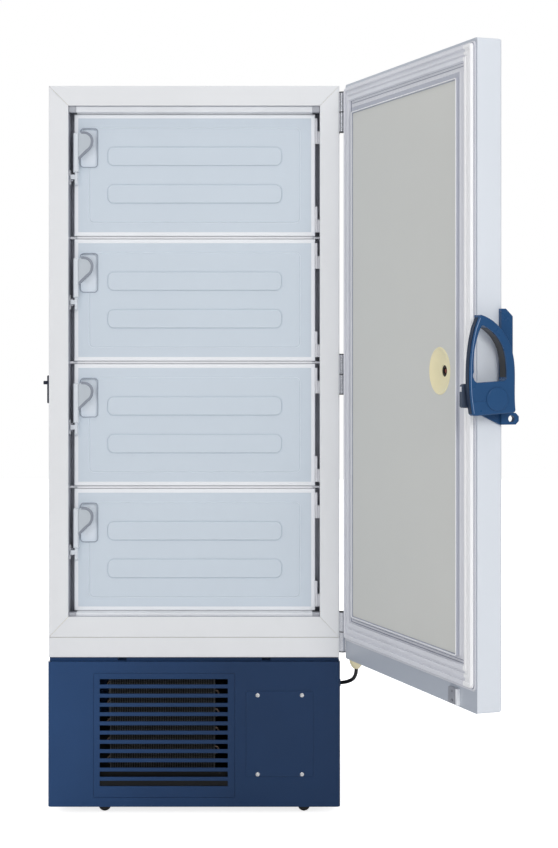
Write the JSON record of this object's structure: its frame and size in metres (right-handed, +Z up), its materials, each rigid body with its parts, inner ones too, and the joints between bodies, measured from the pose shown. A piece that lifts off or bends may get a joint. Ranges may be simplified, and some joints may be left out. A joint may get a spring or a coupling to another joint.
{
  "type": "ultra low temperature freezer",
  "caption": "Upright ultra low temperature freezer with insulated inner doors, a heavy outer door with a lever handle, and a vented machine base on castors.",
  "frame": {"origin": "floor level under the centre of the cabinet's footprint", "axes": "+X to the right seen from the front, +Y to the back, +Z up"},
  "size_m": [1.1963, 1.6097, 1.98],
  "materials": {
    "case_paint": "satin",
    "rear_panel": "satin",
    "frame_paint": "satin",
    "liner_steel": "satin",
    "foam": "matte",
    "white_plastic": "satin",
    "rail_plastic": "satin",
    "inner_panel": "satin",
    "hinge_steel": "satin",
    "door_paint": "satin",
    "door_lining": "satin",
    "door_plate": "matte",
    "seal_rubber": "matte",
    "cream_plastic": "satin",
    "handle_plastic": "satin",
    "bezel_plastic": "satin",
    "display": "gloss",
    "base_paint": "satin",
    "chassis_steel": "satin",
    "screw_steel": "polished",
    "machine_black": "satin",
    "coil_aluminium": "matte",
    "fan_plastic": "matte",
    "castor_steel": "satin",
    "wheel_rubber": "matte",
    "cable_rubber": "matte",
    "inlet_plastic": "matte"
  },
  "bodies": {
    "cabinet": {"outer_case": "case_paint", "back_panel": "rear_panel", "access_port": "white_plastic", "face_frame": "frame_paint", "front_fascia": "frame_paint", "inner_liner": "liner_steel", "foam_body": "foam", "breaker_strips": "white_plastic", "divider_rails": "rail_plastic", "shelves": "liner_steel", "inner_hinge_leaves": "hinge_steel", "inner_catches": "white_plastic", "cabinet_hinges": "hinge_steel", "door_striker": "hinge_steel", "base_frame": "chassis_steel", "base_front_cover": "base_paint", "intake_grille": "base_paint", "service_plate": "base_paint", "base_screws": "screw_steel", "base_side_covers": "base_paint", "base_rear_grille": "base_paint", "condenser": "coil_aluminium", "fan_housing": "machine_black", "compressors": "machine_black", "refrigeration_parts": "machine_black", "control_box": "chassis_steel", "power_inlet": "inlet_plastic", "castor_plates": "castor_steel", "door_cable": "cable_rubber"},
    "door": {"door_shell": "door_paint", "door_foam": "foam", "door_liner": "door_lining", "door_inner_plate": "door_plate", "door_gasket": "seal_rubber", "relief_port": "cream_plastic", "door_sensor_bracket": "chassis_steel", "cable_gland": "cream_plastic", "control_panel": "bezel_plastic", "display_glass": "display", "door_hinges": "hinge_steel", "handle_bracket": "handle_plastic"},
    "handle": {"handle_lever": "handle_plastic"},
    "fan": {"fan_blade": "fan_plastic"},
    "inner_door_1": {"inner_door_panel_1": "inner_panel", "inner_door_frame_1": "white_plastic"},
    "inner_door_2": {"inner_door_panel_2": "inner_panel", "inner_door_frame_2": "white_plastic"},
    "inner_door_3": {"inner_door_panel_3": "inner_panel", "inner_door_frame_3": "white_plastic"},
    "inner_door_4": {"inner_door_panel_4": "inner_panel", "inner_door_frame_4": "white_plastic"},
    "castor_front_left": {"castor_fork_front_left": "castor_steel"},
    "wheel_front_left": {"castor_wheel_front_left": "wheel_rubber"},
    "castor_front_right": {"castor_fork_front_right": "castor_steel"},
    "wheel_front_right": {"castor_wheel_front_right": "wheel_rubber"},
    "castor_rear_left": {"castor_fork_rear_left": "castor_steel"},
    "wheel_rear_left": {"castor_wheel_rear_left": "wheel_rubber"},
    "castor_rear_right": {"castor_fork_rear_right": "castor_steel"},
    "wheel_rear_right": {"castor_wheel_rear_right": "wheel_rubber"}
  },
  "joints": [
    {"name": "door_hinge", "type": "hinge", "parent": "cabinet", "child": "door", "pos_m": [0.403, -0.401, 1.196], "axis": [0, 0, 1], "range_deg": [-110.3, 20]},
    {"name": "handle_pivot", "type": "hinge", "parent": "door", "child": "handle", "pos_m": [0.72281, -1.1762, 1.15], "axis": [-0.3469, 0.9379, 0], "range_deg": [0, 30]},
    {"name": "fan_spin", "type": "hinge", "parent": "cabinet", "child": "fan", "pos_m": [-0.087, -0.29, 0.24225], "axis": [0, -1, 0], "continuous": true},
    {"name": "inner_hinge_1", "type": "hinge", "parent": "cabinet", "child": "inner_door_1", "pos_m": [0.3334, -0.3565, 1.74015], "axis": [0, 0, 1], "range_deg": [0, 95]},
    {"name": "inner_hinge_2", "type": "hinge", "parent": "cabinet", "child": "inner_door_2", "pos_m": [0.3334, -0.3565, 1.39845], "axis": [0, 0, 1], "range_deg": [0, 95]},
    {"name": "inner_hinge_3", "type": "hinge", "parent": "cabinet", "child": "inner_door_3", "pos_m": [0.3334, -0.3565, 1.05675], "axis": [0, 0, 1], "range_deg": [0, 95]},
    {"name": "inner_hinge_4", "type": "hinge", "parent": "cabinet", "child": "inner_door_4", "pos_m": [0.3334, -0.3565, 0.71505], "axis": [0, 0, 1], "range_deg": [0, 95]},
    {"name": "castor_swivel_front_left", "type": "hinge", "parent": "cabinet", "child": "castor_front_left", "pos_m": [-0.246, -0.324, 0.09], "axis": [0, 0, 1], "continuous": true},
    {"name": "wheel_spin_front_left", "type": "hinge", "parent": "castor_front_left", "child": "wheel_front_left", "pos_m": [-0.246, -0.354, 0.036], "axis": [1, 0, 0], "continuous": true},
    {"name": "castor_swivel_front_right", "type": "hinge", "parent": "cabinet", "child": "castor_front_right", "pos_m": [0.299, -0.324, 0.09], "axis": [0, 0, 1], "continuous": true},
    {"name": "wheel_spin_front_right", "type": "hinge", "parent": "castor_front_right", "child": "wheel_front_right", "pos_m": [0.299, -0.354, 0.036], "axis": [1, 0, 0], "continuous": true},
    {"name": "castor_swivel_rear_left", "type": "hinge", "parent": "cabinet", "child": "castor_rear_left", "pos_m": [-0.246, 0.324, 0.09], "axis": [0, 0, 1], "continuous": true},
    {"name": "wheel_spin_rear_left", "type": "hinge", "parent": "castor_rear_left", "child": "wheel_rear_left", "pos_m": [-0.246, 0.294, 0.036], "axis": [1, 0, 0], "continuous": true},
    {"name": "castor_swivel_rear_right", "type": "hinge", "parent": "cabinet", "child": "castor_rear_right", "pos_m": [0.299, 0.324, 0.09], "axis": [0, 0, 1], "continuous": true},
    {"name": "wheel_spin_rear_right", "type": "hinge", "parent": "castor_rear_right", "child": "wheel_rear_right", "pos_m": [0.299, 0.294, 0.036], "axis": [1, 0, 0], "continuous": true}
  ]
}
